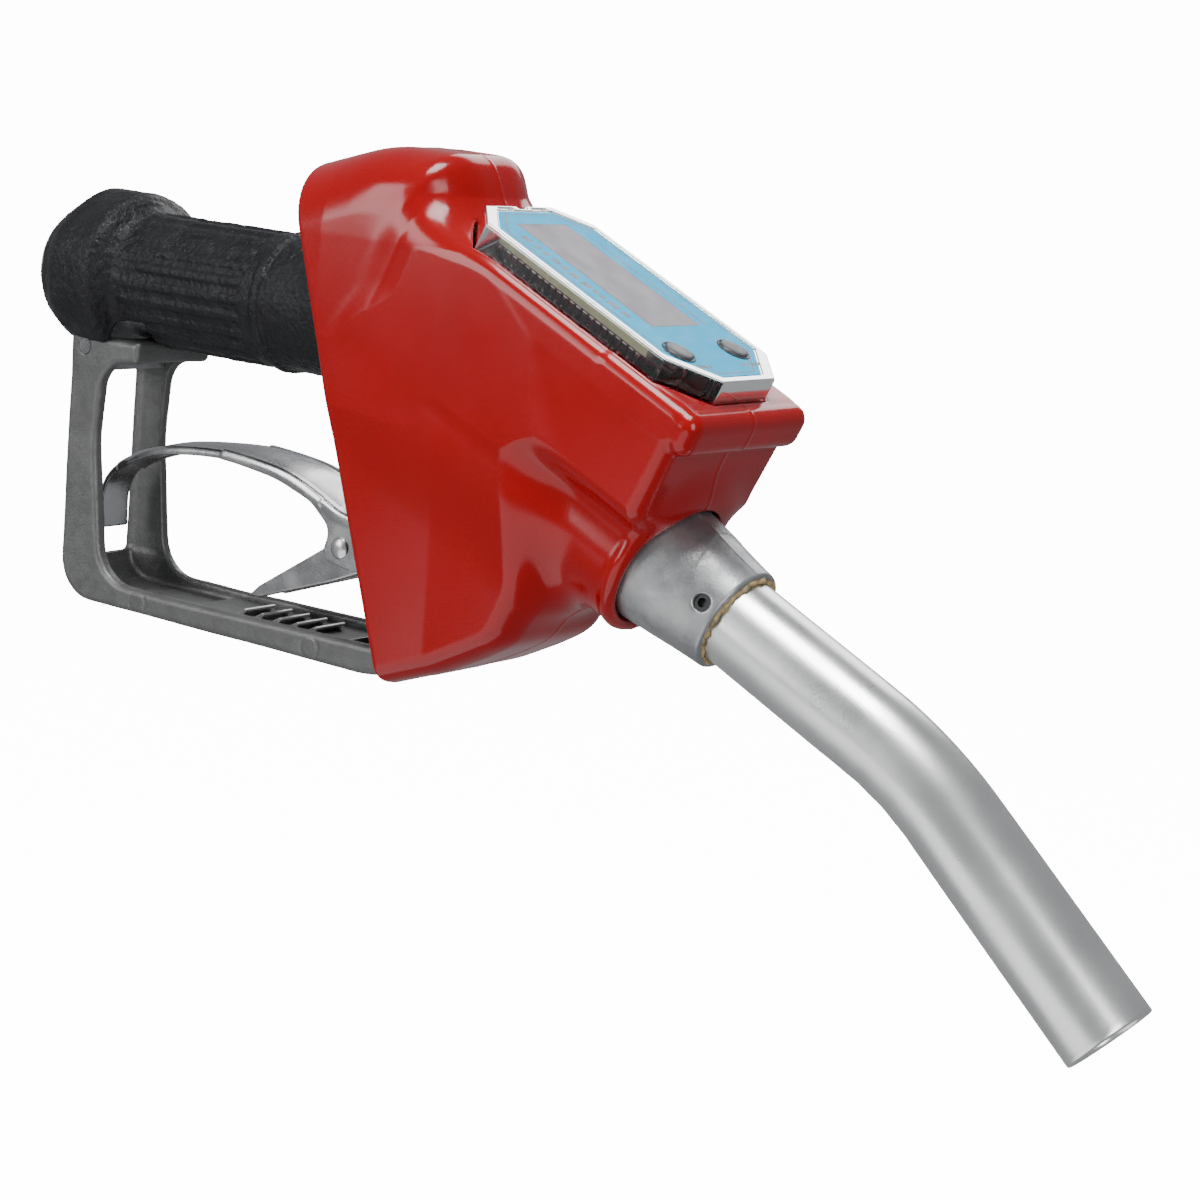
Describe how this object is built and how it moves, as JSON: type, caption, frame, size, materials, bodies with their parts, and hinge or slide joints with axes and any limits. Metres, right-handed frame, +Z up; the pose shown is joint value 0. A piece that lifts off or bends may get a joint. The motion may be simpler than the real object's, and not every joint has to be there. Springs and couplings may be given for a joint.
{
  "type": "fuel nozzle",
  "caption": "Hand-held automatic fuel nozzle with a squeeze lever in a guard, a bent metal spout, a red splash cover and an in-line digital meter.",
  "frame": {"origin": "centre of the hose-inlet face at the rear of the handle", "axes": "+X along the handle towards the spout, +Z up, +Y to the left of a person holding it"},
  "size_m": [0.3855, 0.057, 0.208],
  "materials": {
    "body_casting": "as-cast",
    "grip_rubber": "pebbled",
    "guard_casting": "dark die-cast",
    "lever_steel": "bright stamped",
    "pin_steel": "plain",
    "spring_steel": "drawn wire",
    "stainless": "turned",
    "brass": "turned",
    "seal_rubber": "smooth",
    "cap_casting": "machined",
    "meter_casting": "as-cast, lightly scratched",
    "white_plastic": "moulded",
    "sensor_plastic": "moulded",
    "board_green": "solder mask",
    "battery_jacket": "sleeve",
    "frame_cream": "moulded",
    "lcd_grey": "display glass",
    "label_blue": "printed film",
    "housing_clear": "clear moulded",
    "button_dark": "smooth",
    "spout_aluminium": "satin drawn",
    "cover_vinyl": "glossy dipped vinyl"
  },
  "bodies": {
    "body": {"nozzle_body": "body_casting", "inlet_gasket": "seal_rubber", "inlet_screen": "stainless", "grip_sleeve": "grip_rubber", "hand_guard": "guard_casting", "guard_rear_pin": "pin_steel", "guard_front_screw": "pin_steel", "latch_rack": "guard_casting", "main_spring": "spring_steel", "valve_cap": "cap_casting", "valve_cap_oring": "seal_rubber", "packing_nut": "brass", "stem_packing": "seal_rubber", "plunger_bush": "brass", "plunger_spring": "spring_steel", "diaphragm": "seal_rubber", "diaphragm_cover": "cap_casting", "diaphragm_spring": "spring_steel", "diaphragm_screws": "pin_steel", "latch_pin": "pin_steel", "meter_body": "meter_casting", "pickup_sensor": "sensor_plastic", "rotor_support_rear": "white_plastic", "rotor_support_front": "white_plastic", "clear_housing": "housing_clear", "face_label": "label_blue", "housing_gasket": "seal_rubber", "electronics_tray": "sensor_plastic", "circuit_board": "board_green", "display_frame": "frame_cream", "lcd_panel": "lcd_grey", "pin_headers": "sensor_plastic", "batteries": "battery_jacket", "battery_clips": "stainless", "button_switches": "sensor_plastic", "board_screws": "pin_steel", "spout_adapter": "meter_casting", "spout_oring": "seal_rubber", "spout_set_screw": "pin_steel", "spout_tube": "spout_aluminium", "sensing_tube": "stainless", "check_valve_seat": "brass", "check_valve_guide": "white_plastic", "check_valve_spring": "spring_steel", "splash_cover": "cover_vinyl"},
    "plunger": {"release_plunger": "stainless", "plunger_balls": "pin_steel"},
    "lever": {"trigger_lever": "lever_steel", "lever_pivot_pin": "pin_steel", "latch_rivet": "pin_steel", "latch_spring": "spring_steel"},
    "latch": {"hold_open_latch": "lever_steel"},
    "valve": {"valve_stem": "stainless", "valve_poppet": "brass", "valve_seal_disc": "seal_rubber"},
    "check_poppet": {"check_valve_poppet": "stainless"},
    "rotor": {"turbine_rotor": "white_plastic", "rotor_shaft": "pin_steel"},
    "near_button": {"near_button": "button_dark"},
    "far_button": {"far_button": "button_dark"}
  },
  "joints": [
    {"name": "plunger_release", "type": "slide", "parent": "body", "child": "plunger", "axis": [-0.4195, 0, -0.9078], "range_m": [0, 0.003], "stiffness_N_per_m": 3000, "springref_m": -0.006, "deforming": ["plunger_spring"]},
    {"name": "trigger_squeeze", "type": "hinge", "parent": "plunger", "child": "lever", "pos_m": [0.17012, 0, -0.06251], "axis": [0, 1, 0], "range_deg": [0, 10.5], "stiffness_Nm_per_rad": 1.5, "springref_deg": -17.19},
    {"name": "latch_swing", "type": "hinge", "parent": "lever", "child": "latch", "pos_m": [0.1252, 0, -0.0678], "axis": [0, 1, 0], "range_deg": [0, 18], "stiffness_Nm_per_rad": 0.03, "springref_deg": -22.92},
    {"name": "valve_lift", "type": "slide", "parent": "body", "child": "valve", "axis": [0, 0, 1], "range_m": [0, 0.00536], "stiffness_N_per_m": 600, "springref_m": -0.006, "deforming": ["main_spring"]},
    {"name": "check_valve_lift", "type": "slide", "parent": "body", "child": "check_poppet", "axis": [0.9078, 0, -0.4195], "range_m": [0, 0.003], "stiffness_N_per_m": 150, "springref_m": -0.004, "deforming": ["check_valve_spring"]},
    {"name": "rotor_spin", "type": "hinge", "parent": "body", "child": "rotor", "pos_m": [0.20798, 0, -0.04255], "axis": [0.9078, 0, -0.4195], "continuous": true},
    {"name": "near_button_press", "type": "slide", "parent": "body", "child": "near_button", "axis": [-0.4195, 0, -0.9078], "range_m": [0, 0.0007], "stiffness_N_per_m": 700, "springref_m": -0.001},
    {"name": "far_button_press", "type": "slide", "parent": "body", "child": "far_button", "axis": [-0.4195, 0, -0.9078], "range_m": [0, 0.0007], "stiffness_N_per_m": 700, "springref_m": -0.001}
  ],
  "couplings": [
    {"joint": "valve_lift", "follows": "trigger_squeeze", "m_per_rad": 0.02912}
  ]
}
